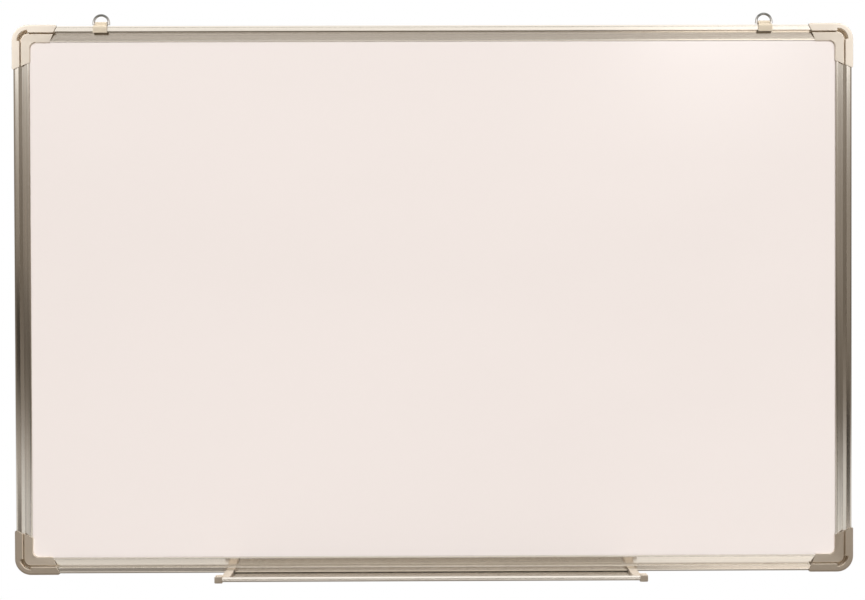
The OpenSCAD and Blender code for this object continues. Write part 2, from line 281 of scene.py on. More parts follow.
class MaterialGraph(NodeMaker):
    """Builds the node tree of one material, from its shader back to its patterns."""

    def __init__(self, name: str) -> None:
        """Makes the material and keeps its shader.

        Args:
            name: Name of the new material.
        """
        self.material = bpy.data.materials.new(name)
        self.material.use_nodes = True
        super().__init__(self.material.node_tree)
        self.shader = self.tree.nodes["Principled BSDF"]

    def constant(self, **values: object) -> None:
        """Sets sockets of the shader that are the same all over the surface.

        Args:
            values: Socket names with underscores for blanks, and their values.
        """
        for key, value in values.items():
            self.shader.inputs[key.replace("_", " ")].default_value = value

    def place(self, scale: Triple, along_grain: bool = False) -> Socket:
        """Gives coordinates for a pattern.

        Args:
            scale: Repeats per metre along each axis.
            along_grain: Whether the pattern follows the piece's own grain map.

        Returns:
            The scaled coordinates.
        """
        if along_grain:
            source = self.node("ShaderNodeUVMap", uv_map=GRAIN).outputs["UV"]
        else:
            source = self.node("ShaderNodeTexCoord").outputs["Object"]
        mapping = self.node("ShaderNodeMapping")
        mapping.inputs["Scale"].default_value = scale
        self.link(source, mapping.inputs["Vector"])
        return mapping.outputs["Vector"]

    def even(self, scale: float) -> Socket:
        """Gives coordinates with the same scale along every axis."""
        return self.place((scale, scale, scale))

    def cloud(self, place: Socket, detail: float, rough: float = 0.5, scale: float = 1.0) -> bpy.types.Node:
        """Adds cloudy noise.

        Args:
            place: Coordinates of the pattern.
            detail: Number of finer layers.
            rough: Weight of those layers.
            scale: Further scale of the pattern.

        Returns:
            The noise's node.
        """
        made = self.node("ShaderNodeTexNoise")
        made.inputs["Scale"].default_value = scale
        made.inputs["Detail"].default_value = detail
        made.inputs["Roughness"].default_value = rough
        self.link(place, made.inputs["Vector"])
        return made

    def noise(self, place: Socket, detail: float, rough: float = 0.5) -> Socket:
        """Gives the value of cloudy noise whose scale is in its coordinates."""
        return self.cloud(place, detail, rough).outputs["Fac"]

    def pattern(self, place: Socket, detail: float, rough: float = 0.5) -> Socket:
        """Gives that noise with its usual values spread from 0 to 1."""
        return self.spread(self.noise(place, detail, rough), 0.0, 1.0)

    def colour(self, socket: Socket) -> None:
        """Sends a colour to the shader."""
        self.link(socket, self.shader.inputs["Base Color"])

    def tones(self, pattern: Socket, colour: Colour, shares: Span) -> None:
        """Colours the surface with lighter and darker tones of one colour.

        Args:
            pattern: Pattern that runs from 0 to 1.
            colour: The colour.
            shares: Factors on it where the pattern is 0 and where it is 1.
        """
        self.colour(self.mix(pattern, tinted(colour, shares.start), tinted(colour, shares.end)))

    def roughness(self, socket: Socket) -> None:
        """Sends a roughness to the shader."""
        self.link(socket, self.shader.inputs["Roughness"])

    def relief(self, height: Socket, depth: float, strength: float) -> None:
        """Bumps the surface by a pattern.

        Args:
            height: The pattern.
            depth: Height of its relief in metres.
            strength: Share of the relief that shows.
        """
        bump = self.node("ShaderNodeBump")
        bump.inputs["Strength"].default_value = strength
        bump.inputs["Distance"].default_value = depth
        self.link(height, bump.inputs["Height"])
        self.link(bump.outputs["Normal"], self.shader.inputs["Normal"])


@dataclass(frozen=True)
class Lacquer:
    """White dry-erase lacquer on steel: glossy, with a faint orange peel and wiped smears."""

    colour: Colour = (0.885, 0.826, 0.808)
    smears: Triple = (2.2, 1.0, 5.5)
    smear_tones: Span = Span(0.994, 1.006)
    smear_gloss: Span = Span(0.2, 0.24)
    peel: float = 420.0
    peel_depth: float = 0.02 * MM
    peel_share: float = 0.05
    index: float = 1.5
    reflection: float = 0.28

    def make(self) -> bpy.types.Material:
        """Builds the material.

        Returns:
            The new material.
        """
        graph = MaterialGraph("lacquer")
        smear = graph.pattern(graph.place(self.smears), detail=4.0)
        graph.tones(smear, self.colour, self.smear_tones)
        graph.roughness(graph.spread(smear, self.smear_gloss.start, self.smear_gloss.end))
        graph.relief(graph.noise(graph.even(self.peel), detail=2.0), self.peel_depth, self.peel_share)
        graph.constant(IOR=self.index, Specular_IOR_Level=self.reflection)
        return graph.material


@dataclass(frozen=True)
class Anodised:
    """Satin anodised aluminium, drawn lengthwise: fine die lines and longer pale streaks."""

    name: str = "anodised"
    colour: Colour = (0.645, 0.6, 0.535)
    roughness: float = 0.15
    drawn: float = 0.9
    lines: Triple = (2400.0, 3.0, 1.0)
    line_depth: float = 0.01 * MM
    line_share: float = 0.25
    line_gloss: Span = Span(-0.02, 0.03)
    streaks: Triple = (420.0, 1.2, 1.0)
    streak_tones: Span = Span(0.94, 1.06)

    def make(self) -> bpy.types.Material:
        """Builds the material.

        Returns:
            The new material.
        """
        graph = MaterialGraph(self.name)
        lines = graph.noise(graph.place(self.lines, along_grain=True), detail=3.0, rough=0.6)
        streaks = graph.pattern(graph.place(self.streaks, along_grain=True), detail=2.0)
        graph.tones(streaks, self.colour, self.streak_tones)
        graph.roughness(graph.spread(lines, self.roughness + self.line_gloss.start,
                                     self.roughness + self.line_gloss.end))
        graph.relief(lines, self.line_depth, self.line_share)
        graph.constant(Metallic=1.0, Anisotropic=self.drawn)
        tangent = graph.node("ShaderNodeTangent", direction_type="UV_MAP", uv_map=GRAIN)
        graph.link(tangent.outputs["Tangent"], graph.shader.inputs["Tangent"])
        return graph.material


@dataclass(frozen=True)
class Moulded:
    """Beige moulded plastic with a fine spark-eroded texture, a little mottled and unevenly matt."""

    name: str = "moulded_plastic"
    colour: Colour = (0.76, 0.665, 0.54)
    mottle: float = 38.0
    mottle_tones: Span = Span(0.965, 1.035)
    texture: float = 1500.0
    texture_depth: float = 0.04 * MM
    texture_share: float = 0.35
    texture_gloss: Span = Span(0.44, 0.58)
    index: float = 1.49
    reflection: float = 0.4

    def make(self) -> bpy.types.Material:
        """Builds the material.

        Returns:
            The new material.
        """
        graph = MaterialGraph(self.name)
        mottle = graph.pattern(graph.even(self.mottle), detail=4.0, rough=0.6)
        graph.tones(mottle, self.colour, self.mottle_tones)
        texture = graph.noise(graph.even(self.texture), detail=2.0)
        graph.roughness(graph.spread(texture, self.texture_gloss.start, self.texture_gloss.end))
        graph.relief(texture, self.texture_depth, self.texture_share)
        graph.constant(IOR=self.index, Specular_IOR_Level=self.reflection)
        return graph.material


@dataclass(frozen=True)
class ZincSheet:
    """Zinc coated steel: crystals of a few millimetres with uneven borders, each with its tone and gloss."""

    colour: Colour = (0.52, 0.54, 0.56)
    crystals: float = 130.0
    borders: float = 2.2
    uneven: float = 0.9
    crystal_tones: Span = Span(0.89, 1.1)
    crystal_gloss: Span = Span(0.34, 0.52)
    grain: float = 260.0
    grain_depth: float = 0.02 * MM
    grain_share: float = 0.2

    def make(self) -> bpy.types.Material:
        """Builds the material.

        Returns:
            The new material.
        """
        graph = MaterialGraph("zinc_sheet")
        place = graph.even(self.crystals)
        bent = graph.node("ShaderNodeVectorMath", operation="MULTIPLY_ADD")
        graph.link(graph.cloud(place, detail=3.0, scale=self.borders).outputs["Color"], bent.inputs[0])
        bent.inputs[1].default_value = (self.uneven, self.uneven, self.uneven)
        graph.link(place, bent.inputs[2])
        cells = graph.node("ShaderNodeTexVoronoi", feature="F1")
        cells.inputs["Scale"].default_value = 1.0
        graph.link(bent.outputs["Vector"], cells.inputs["Vector"])
        tone = graph.node("ShaderNodeSeparateColor")
        graph.link(cells.outputs["Color"], tone.inputs["Color"])
        graph.tones(tone.outputs["Red"], self.colour, self.crystal_tones)
        graph.roughness(graph.spread(tone.outputs["Green"], self.crystal_gloss.start,
                                     self.crystal_gloss.end, WHOLE))
        graph.relief(graph.noise(graph.even(self.grain), detail=3.0), self.grain_depth, self.grain_share)
        graph.constant(Metallic=1.0)
        return graph.material


@dataclass(frozen=True)
class Plated:
    """Plated steel: a soft sheen with small dull patches."""

    name: str
    colour: Colour
    roughness: float
    patches: float = 320.0
    patch_tones: Span = Span(0.85, 1.1)
    patch_gloss: Span = Span(0.8, 1.3)
    grain: float = 1800.0
    grain_depth: float = 0.01 * MM
    grain_share: float = 0.2

    def make(self) -> bpy.types.Material:
        """Builds the material.

        Returns:
            The new material.
        """
        graph = MaterialGraph(self.name)
        dull = graph.pattern(graph.even(self.patches), detail=4.0, rough=0.6)
        graph.tones(dull, self.colour, self.patch_tones)
        graph.roughness(graph.spread(dull, self.roughness * self.patch_gloss.start,
                                     self.roughness * self.patch_gloss.end, WHOLE))
        graph.relief(graph.noise(graph.even(self.grain), detail=2.0), self.grain_depth, self.grain_share)
        graph.constant(Metallic=1.0)
        return graph.material


@dataclass(frozen=True)
class RingWire:
    """Nickel plated wire: bright legs, and a bow much darker towards its top."""

    bright: Colour = (0.72, 0.7, 0.68)
    dull: Colour = (0.2, 0.2, 0.19)
    # heights over which the wire's tone goes from bright to the dark bow
    worn: Span = Span(299.0 * MM, 304.0 * MM)
    patches: float = 900.0
    patch_depth: float = 0.01 * MM
    patch_share: float = 0.2
    patch_gloss: Span = Span(0.1, 0.22)

    def make(self) -> bpy.types.Material:
        """Builds the material.

        Returns:
            The new material.
        """
        graph = MaterialGraph("nickel_wire")
        height = graph.split(graph.even(1.0)).outputs["Z"]
        # darker towards the top of the bow, by height alone
        graph.colour(graph.mix(graph.spread(height, 0.0, 1.0, self.worn), self.bright, self.dull))
        patches = graph.noise(graph.even(self.patches), detail=4.0, rough=0.6)
        graph.roughness(graph.spread(patches, self.patch_gloss.start, self.patch_gloss.end))
        graph.relief(patches, self.patch_depth, self.patch_share)
        graph.constant(Metallic=1.0)
        return graph.material


@dataclass(frozen=True)
class PressedCore:
    """Pressed fibre core: short fibres, paler and darker."""

    colour: Colour = (0.42, 0.3, 0.18)
    fibres: Triple = (220.0, 1500.0, 220.0)
    fibre_tones: Span = Span(0.75, 1.25)
    fibre_gloss: Span = Span(0.8, 0.95)
    fibre_depth: float = 0.15 * MM
    fibre_share: float = 0.5
    reflection: float = 0.2

    def make(self) -> bpy.types.Material:
        """Builds the material.

        Returns:
            The new material.
        """
        graph = MaterialGraph("pressed_core")
        fibres = graph.pattern(graph.place(self.fibres), detail=5.0, rough=0.7)
        graph.tones(fibres, self.colour, self.fibre_tones)
        graph.roughness(graph.spread(fibres, self.fibre_gloss.start, self.fibre_gloss.end, WHOLE))
        graph.relief(fibres, self.fibre_depth, self.fibre_share)
        graph.constant(Specular_IOR_Level=self.reflection)
        return graph.material


def dress(piece: bpy.types.Object, material: bpy.types.Material) -> None:
    """Gives a piece one material.

    Args:
        piece: The object to dress.
        material: Its only material.
    """
    piece.data.materials.clear()
    piece.data.materials.append(material)
    LOG.info("%s dressed in %s", piece.name, material.name)


@dataclass(frozen=True)
class SmoothCopy:
    """Copies a CAD node as one merged mesh, with its arcs shaded smooth and its flats left flat."""

    sharp_angle: float = math.radians(32)
    weld: float = 0.002 * MM
    flat_angle: float = math.radians(0.2)
    flat_weight: int = 100
    end_face: float = 0.1
    end_grain: Triple = (0.0, 1.0, 0.0)

    def merged(self, node: str) -> bmesh.types.BMesh:
        """Welds a node's loose triangles and joins those that lie in one plane.

        Args:
            node: Name of the CAD node.

        Returns:
            The merged mesh, with its sharp edges marked.
        """
        mesh = bmesh.new()
        mesh.from_mesh(frame["nodes"][node].data)
        bmesh.ops.remove_doubles(mesh, verts=mesh.verts, dist=self.weld)
        bmesh.ops.dissolve_limit(mesh, angle_limit=self.flat_angle, verts=mesh.verts, edges=mesh.edges)
        self.mark_sharp(mesh)
        return mesh

    def mark_sharp(self, mesh: bmesh.types.BMesh) -> None:
        """Shades every face smooth and marks the sharp edges.

        Args:
            mesh: The mesh to mark.
        """
        for face in mesh.faces:
            face.smooth = True
            face.material_index = 0
        for edge in mesh.edges:
            edge.smooth = len(edge.link_faces) == 2 and edge.calc_face_angle(0.0) < self.sharp_angle

    def grained(self, mesh: bmesh.types.BMesh, axis: Vector) -> None:
        """Maps each face across and along the direction in which it was drawn.

        Args:
            mesh: The mesh to map.
            axis: That direction.
        """
        layer = mesh.loops.layers.uv.new(GRAIN)
        for face in mesh.faces:
            across = axis.cross(face.normal)
            if across.length < self.end_face:
                across = Vector(self.end_grain)
            across.normalize()
            for loop in face.loops:
                loop[layer].uv = (loop.vert.co.dot(across), loop.vert.co.dot(axis))

    def make(self, node: str, name: str, body: str, slot: Slot, axis: Axis | None = None,
             shape: Callable[[bmesh.types.BMesh], None] | None = None) -> bpy.types.Object:
        """Makes the copy that stands for a node.

        Args:
            node: Name of the CAD node.
            name: Name of the new piece.
            body: CAD body that it rides on.
            slot: The record's material slot; not used.
            axis: Direction in which the piece was drawn, or none for a moulded one.
            shape: Step that shapes the merged mesh further, or none.

        Returns:
            The new piece.
        """
        mesh = self.merged(node)
        if shape is not None:
            shape(mesh)
            self.mark_sharp(mesh)
        if axis is not None:
            self.grained(mesh, axis.vector)
        data = bpy.data.meshes.new(name)
        mesh.to_mesh(data)
        mesh.free()
        if "custom_normal" in data.attributes:
            data.attributes.remove(data.attributes["custom_normal"])
        piece = bpy.data.objects.new(name, data)
        bpy.context.scene.collection.objects.link(piece)
        weighted = piece.modifiers.new("flat_faces", "WEIGHTED_NORMAL")
        weighted.keep_sharp = True
        weighted.weight = self.flat_weight
        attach(piece, body)
        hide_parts(node)
        LOG.info("%s stands for %s: %d faces", name, node, len(data.polygons))
        return piece


@dataclass
class WritingPanel:
    """The panel in the frame: lacquered sheet, pressed core and zinc coated back."""

    sheet: Lacquer = Lacquer()
    core: PressedCore = PressedCore()
    back: ZincSheet = ZincSheet()

    def build(self) -> list[bpy.types.Object]:
        """Dresses the three layers.

        Returns:
            The writing sheet, which the studio lights by itself.
        """
        sheet = frame["nodes"]["writing_sheet"]
        dress(sheet, self.sheet.make())
        dress(frame["nodes"]["core_board"], self.core.make())
        dress(frame["nodes"]["back_sheet"], self.back.make())
        return [sheet]


@dataclass(frozen=True)
class SectionMove:
    """A corner of the rail's section and the place that it moves to.

    Both are in millimetres: across from the rail's outer edge, and out from the wall.
    """

    start: tuple[float, float]
    end: tuple[float, float]

    @property
    def corner(self) -> Vector:
        """The corner in metres."""
        return Vector(self.start) * MM

    @property
    def step(self) -> Vector:
        """The way that the corner moves, in metres."""
        return (Vector(self.end) - Vector(self.start)) * MM


@dataclass
class DrawnFrame:
    """Four lengths of drawn rail, with the keys and screws that join them at the corners."""

    metal: Anodised = Anodised()
    keys: Plated = Plated("key_steel", (0.5, 0.49, 0.46), 0.42)
    screws: Plated = Plated("screw_steel", (0.58, 0.55, 0.48), 0.3, 700.0)
    half_width: float = 450.0 * MM
    half_height: float = 294.0 * MM
    groove_edge: SectionMove = SectionMove((9.0, 14.2), (9.0, 12.9))
    groove_side: SectionMove = SectionMove((6.2, 12.6), (6.2, 14.85))
    groove_flat: SectionMove = SectionMove((7.74, 12.6), (7.74, 13.86))
    slope_end: SectionMove = SectionMove((9.0, 14.2), (9.0, 13.05))
    band_start: SectionMove = SectionMove((9.4, 14.504), (9.4, 13.05))
    band_end: SectionMove = SectionMove((16.5, 12.796), (15.3, 13.65))
    lip_edge: SectionMove = SectionMove((16.9, 12.3), (16.9, 13.0))
    underside: SectionMove = SectionMove((10.2, 13.111), (10.2, 12.0))
    reach: float = 0.06 * MM
    lip_round: float = 0.35 * MM
    lip_steps: int = 3
    head_corner: tuple[float, float] = (6.2, 16.5)
    head_reach: float = 0.85 * MM
    head_crisp: float = 0.3

    def to_section(self, side: Side, place: Vector) -> Vector:
        """Gives a point's place in the rail's section.

        Args:
            side: Side of the board that the rail is on.
            place: The point.

        Returns:
            Its distance across the rail and its depth from the wall.
        """
        half = self.half_width if side in HANDS else self.half_height
        return Vector((half + place.dot(side.inward), -place.y))

    def to_board(self, side: Side, step: Vector) -> Vector:
        """Turns a step in the section of one side's rail to the board's own frame."""
        return side.inward * step.x + Vector((0.0, -step.y, 0.0))

    def crisp_head(self, mesh: bmesh.types.BMesh, side: Side) -> None:
        """Draws the rounding of the head's inner edge in to a crisper edge.

        Args:
            mesh: The rail's merged mesh.
            side: Side of the board that the rail is on.
        """
        corner = Vector(self.head_corner) * MM
        for vert in mesh.verts:
            offset = self.to_section(side, vert.co) - corner
            if offset.length < self.head_reach:
                vert.co += self.to_board(side, offset * (self.head_crisp - 1.0))

    def lean_band(self, mesh: bmesh.types.BMesh, side: Side) -> None:
        """Leans the inner band outwards, as the photographed one, and rounds its lip.

        The upright rails, on which no clip hooks, get a slope in place of the groove.

        Args:
            mesh: The rail's merged mesh.
            side: Side of the board that the rail is on.
        """
        self.crisp_head(mesh, side)
        lip = []
        groove = (self.groove_edge,)
        if side in HANDS:
            groove = (self.groove_side, self.groove_flat, self.slope_end)
        for move in (*groove, self.band_start, self.band_end, self.lip_edge, self.underside):
            found = [vert for vert in mesh.verts
                     if (self.to_section(side, vert.co) - move.corner).length < self.reach]
            bmesh.ops.translate(mesh, vec=self.to_board(side, move.step), verts=found)
            if move in (self.band_end, self.lip_edge):
                lip += [edge for edge in mesh.edges if all(vert in found for vert in edge.verts)]
            LOG.info("%s rail: %d vertices of the section moved", side.label, len(found))
        bmesh.ops.bevel(mesh, geom=lip, offset=self.lip_round, offset_type="OFFSET", affect="EDGES",
                        segments=self.lip_steps, profile=0.5, material=-1)

    def build(self) -> None:
        """Makes the rails' smooth copies and dresses the keys and screws."""
        metal = self.metal.make()
        for side in Side:
            rail = SmoothCopy().make(f"{side.label}_rail", f"drawn_rail_{side.label}", "board",
                                     Slot.ALUMINIUM, side.drawn, partial(self.lean_band, side=side))
            dress(rail, metal)
        key_steel = self.keys.make()
        for corner in Corner:
            dress(frame["nodes"][f"corner_key_{corner.value}"], key_steel)
        dress(frame["nodes"]["corner_screws"], self.screws.make())


@dataclass
class MouldedCorners:
    """The four moulded caps."""

    corners: tuple[Corner, ...] = tuple(Corner)

    def build(self, plastic: bpy.types.Material) -> list[bpy.types.Object]:
        """Makes the caps' smooth copies.

        Args:
            plastic: The caps' finish.

        Returns:
            The caps.
        """
        caps = []
        for corner in self.corners:
            cap = SmoothCopy().make(f"corner_cap_{corner.value}", f"moulded_cap_{corner.value}", "board",
                                    Slot.PLASTIC)
            dress(cap, plastic)
            caps.append(cap)
        return caps


@dataclass
class Hangers:
    """The two clips on the top rail and the wire rings that swing in them."""

    hands: tuple[Side, ...] = HANDS
    plastic: Moulded = Moulded("clip_plastic", (0.53, 0.445, 0.325))
    wire: RingWire = RingWire()

    def build(self) -> list[bpy.types.Object]:
        """Makes the clips' smooth copies and dresses the rings.

        Returns:
            The clips and rings.
        """
        plastic = self.plastic.make()
        wire = self.wire.make()
        made = []
        for hand in self.hands:
            clip = SmoothCopy().make(f"hanger_clip_{hand.label}", f"rail_clip_{hand.label}",
                                     f"{hand.label}_clip", Slot.PLASTIC)
            dress(clip, plastic)
            ring = frame["nodes"][f"hanger_ring_{hand.label}"]
            dress(ring, wire)
            made += [clip, ring]
        return made


@dataclass
class PenTray:
    """The drawn tray that slides under the bottom rail and its two moulded ends."""

    hands: tuple[Side, ...] = HANDS
    metal: Anodised = Anodised("anodised_tray", (0.69, 0.645, 0.58), 0.22)

    def build(self, plastic: bpy.types.Material) -> list[bpy.types.Object]:
        """Makes the tray's smooth copies.

        Args:
            plastic: Its ends' finish.

        Returns:
            The tray and its ends.
        """
        tray = SmoothCopy().make("pen_tray", "drawn_tray", "tray", Slot.ALUMINIUM, Axis.LEVEL)
        dress(tray, self.metal.make())
        made = [tray]
        for hand in self.hands:
            end = SmoothCopy().make(f"tray_end_{hand.label}", f"moulded_tray_end_{hand.label}", "tray",
                                    Slot.PLASTIC)
            dress(end, plastic)
            made.append(end)
        return made


@dataclass(frozen=True)
class Viewpoint:
    """The camera at the photograph's angle: place in metres, turns in degrees, focal length in pixels."""

    place: Triple = (-0.0082, -1.499, 0.0153)
    pitch: float = -0.627
    yaw: float = -0.262
    roll: float = -0.188
    focal: float = 1380.3
    image_width: float = 865.0
    sensor: float = 36.0
    nearest: float = 0.01
    farthest: float = 50.0

    def build(self) -> None:
        """Makes the scene's camera."""
        data = bpy.data.cameras.new("camera")
        data.sensor_fit = "HORIZONTAL"
        data.sensor_width = self.sensor
        data.lens = self.focal * self.sensor / self.image_width
        data.clip_start = self.nearest
        data.clip_end = self.farthest
        camera = bpy.data.objects.new("camera", data)
        bpy.context.scene.collection.objects.link(camera)
        camera.matrix_world = (
            Matrix.Translation(self.place)
            @ Matrix.Rotation(math.radians(self.yaw), 4, "Z")
            @ Matrix.Rotation(math.radians(90 + self.pitch), 4, "X")
            @ Matrix.Rotation(math.radians(self.roll), 4, "Z")
        )
        bpy.context.scene.camera = camera
        LOG.info("camera at %s, lens %.1f mm", self.place, data.lens)


def shine_on(lamp: bpy.types.Object, pieces: list[bpy.types.Object]) -> None:
    """Makes a lamp light some pieces alone.

    Args:
        lamp: The lamp.
        pieces: The pieces.
    """
    group = bpy.data.collections.new(f"{lamp.name}_pieces")
    for piece in pieces:
        group.objects.link(piece)
    lamp.light_linking.receiver_collection = group


def flipped(point: Triple) -> Triple:
    """Mirrors a point to the other half of the board."""
    return (-point[0], point[1], point[2])


@dataclass(frozen=True)
class Lamp:
    """A soft rectangular lamp: sizes in metres, power in watts and spread in degrees."""

    name: str
    place: Triple
    aim: Triple
    width: float
    height: float
    power: float
    spread: float = 180.0
    shines: bool = True
    mirrored: bool = True
    colour: Colour = WHITE

    def across_from(self, name: str) -> "Lamp":
        """Gives the same lamp on the other half of the board, under another name."""
        return replace(self, name=name, place=flipped(self.place), aim=flipped(self.aim))

    def build(self, receivers: list[bpy.types.Object] | None = None) -> None:
        """Makes the lamp.

        Args:
            receivers: Pieces that it lights, or none for all of them.
        """
        data = bpy.data.lights.new(self.name, "AREA")
        data.shape = "RECTANGLE"
        data.size = self.width
        data.size_y = self.height
        data.energy = self.power
        data.color = self.colour
        data.spread = math.radians(self.spread)
        lamp = bpy.data.objects.new(self.name, data)
        bpy.context.scene.collection.objects.link(lamp)
        lamp.location = self.place
        lamp.rotation_euler = (Vector(self.aim) - Vector(self.place)).to_track_quat("-Z", "Y").to_euler()
        lamp.visible_camera = False
        lamp.visible_diffuse = self.shines
        lamp.visible_glossy = self.mirrored
        if receivers is not None:
            shine_on(lamp, receivers)


@dataclass(frozen=True)
class FrontLight:
    """Broad even light from the front: angles in degrees."""

    strength: float = 2.44
    softness: float = 60.0
    tilt: float = 80.0
    turn: float = 8.0

    def build(self, receivers: list[bpy.types.Object]) -> None:
        """Makes the light.

        Args:
            receivers: Pieces that it lights.
        """
        data = bpy.data.lights.new("front_light", "SUN")
        data.energy = self.strength
        data.angle = math.radians(self.softness)
        lamp = bpy.data.objects.new("front_light", data)
        bpy.context.scene.collection.objects.link(lamp)
        lamp.rotation_euler = (math.radians(self.tilt), 0.0, math.radians(self.turn))
        lamp.visible_glossy = False
        shine_on(lamp, receivers)


@dataclass(frozen=True)
class SkyBand:
    """Level of the surround in gloss at a height, from -1 straight below to 1 straight above."""

    height: float
    level: float
    green_loss: float = 0.18
    blue_loss: float = 0.36

    @property
    def colour(self) -> Colour:
        """Gives the level as a colour, warmer where it is dim.

        Returns:
            The colour.
        """
        dim = max(0.0, 1.0 - self.level)
        green = self.level * (1.0 - self.green_loss * dim)
        blue = self.level * (1.0 - self.blue_loss * dim)
        return (self.level, green, blue)


class SkyGraph(NodeMaker):
    """Builds the world's node tree from the direction of a ray."""

    def __init__(self, tree: bpy.types.NodeTree) -> None:
        """Keeps the tree and splits the ray's direction.

        Args:
            tree: Node tree of the world.
        """
        super().__init__(tree)
        ray = self.split(self.node("ShaderNodeTexCoord").outputs["Generated"])
        self.across = ray.outputs["X"]
        self.up = ray.outputs["Z"]

    def ease(self, value: Socket, span: Span, low: float = 0.0, high: float = 1.0) -> Socket:
        """Adds a soft step from a low to a high result over a span of the value."""
        return self.spread(value, low, high, span, "SMOOTHSTEP")

    def ramp(self, height: Socket, bands: tuple[SkyBand, ...]) -> Socket:
        """Adds a ramp of colours over a height, whose range of -1 to 1 is the ramp's 0 to 1.

        Args:
            height: Height above the horizon.
            bands: The ramp's colours.

        Returns:
            The colour.
        """
        made = self.node("ShaderNodeValToRGB")
        made.color_ramp.interpolation = "EASE"
        stops = made.color_ramp.elements
        while len(stops) < len(bands):
            stops.new(0.5)
        for stop, band in zip(stops, bands):
            stop.position = (band.height + 1.0) / 2.0
            stop.color = (*band.colour, 1.0)
        self.link(self.sum("MULTIPLY_ADD", height, 0.5, 0.5), made.inputs["Fac"])
        return made.outputs["Color"]


@dataclass(frozen=True)
class Surround:
    """White surround, graded in gloss by three ramps from straight ahead to far aside, with a bright right.

    Spans run over the sine of a ray's height, or of its turn to the side.
    """

    fill: Colour = (0.215, 0.18, 0.147)
    ahead: tuple[SkyBand, ...] = (
        SkyBand(-0.35, 0.6),
        SkyBand(-0.27, 0.18),
        SkyBand(-0.2, 0.16),
        SkyBand(-0.17, 0.68),
        SkyBand(-0.14, 0.42),
        SkyBand(-0.105, 0.03),
        SkyBand(-0.05, 0.01),
        SkyBand(-0.02, 0.25),
        SkyBand(0.06, 0.4),
        SkyBand(0.12, 0.7),
        SkyBand(0.19, 2.6),
        SkyBand(0.3, 0.55),
        SkyBand(0.43, 0.47),
        SkyBand(0.52, 0.75),
        SkyBand(0.7, 1.5),
    )
    beside: tuple[SkyBand, ...] = (
        SkyBand(-0.15, 1.05),
        SkyBand(-0.12, 0.62),
        SkyBand(-0.09, 0.18),
        SkyBand(-0.05, 0.21),
        SkyBand(0.03, 0.35),
        SkyBand(0.13, 0.44),
        SkyBand(0.2, 0.75),
        SkyBand(0.5, 0.7),
        SkyBand(0.7, 1.5),
    )
    far: tuple[SkyBand, ...] = (
        SkyBand(-0.14, 0.95),
        SkyBand(-0.08, 0.3),
        SkyBand(-0.02, 0.2),
        SkyBand(0.06, 0.26),
        SkyBand(0.14, 0.42),
        SkyBand(0.3, 0.6),
        SkyBand(0.7, 1.5),
    )
    beside_turn: Span = Span(0.38, 0.46)
    far_turn: Span = Span(0.58, 0.68)
    lean: float = 0.143
    lean_heights: Span = Span(-0.02, 0.06)
    glow_in: Span = Span(0.11, 0.22)
    glow_out: Span = Span(0.38, 0.5)
    glow_above: float = 0.7
    glow_rise: Span = Span(0.15, 0.23)
    glow_fall: Span = Span(0.28, 0.36)
    glow_rest: float = 0.2
    glow_below: float = 5.0
    glow_depth: Span = Span(-0.21, -0.17)

    def graded(self, sky: SkyGraph) -> Socket:
        """Grades the surround by three ramps, of which the first leans, and brightens its right.

        Args:
            sky: Node tree of the world.

        Returns:
            The surround's colour.
        """
        lean = sky.ease(sky.up, self.lean_heights, self.lean, 0.0)
        leaning = sky.sum("MULTIPLY_ADD", sky.across, lean, sky.up)
        turned = sky.sum("ABSOLUTE", sky.across)
        colour = sky.mix(sky.ease(turned, self.beside_turn), sky.ramp(leaning, self.ahead),
                         sky.ramp(sky.up, self.beside))
        colour = sky.mix(sky.ease(turned, self.far_turn), colour, sky.ramp(sky.up, self.far))
        right = sky.sum("MULTIPLY", sky.ease(sky.across, self.glow_in),
                        sky.ease(sky.across, self.glow_out, 1.0, 0.0))
        above = sky.sum("MULTIPLY", sky.ease(sky.up, self.glow_rise, 0.0, self.glow_above),
                        sky.ease(sky.up, self.glow_fall, 1.0, self.glow_rest))
        below = sky.ease(sky.up, self.glow_depth, self.glow_below, 0.0)
        glow = sky.sum("MULTIPLY", right, sky.sum("ADD", above, below))
        shown = sky.node("ShaderNodeVectorMath", operation="SCALE")
        sky.link(colour, shown.inputs["Vector"])
        sky.link(sky.sum("ADD", glow, 1.0), shown.inputs["Scale"])
        return shown.outputs["Vector"]

    def build(self) -> None:
        """Makes the world: white to the camera, graded in gloss and a soft fill elsewhere."""
        world = bpy.data.worlds.new("surround")
        bpy.context.scene.world = world
        world.use_nodes = True
        sky = SkyGraph(world.node_tree)
        path = sky.node("ShaderNodeLightPath")
        direct = sky.sum("LESS_THAN", path.outputs["Diffuse Depth"], 0.5)
        gloss = sky.sum("MULTIPLY", path.outputs["Is Glossy Ray"], direct)
        lit = sky.mix(gloss, self.fill, self.graded(sky))
        clear = sky.sum("MAXIMUM", path.outputs["Is Camera Ray"], path.outputs["Is Transmission Ray"])
        sky.link(sky.mix(clear, lit, WHITE), sky.tree.nodes["Background"].inputs["Color"])


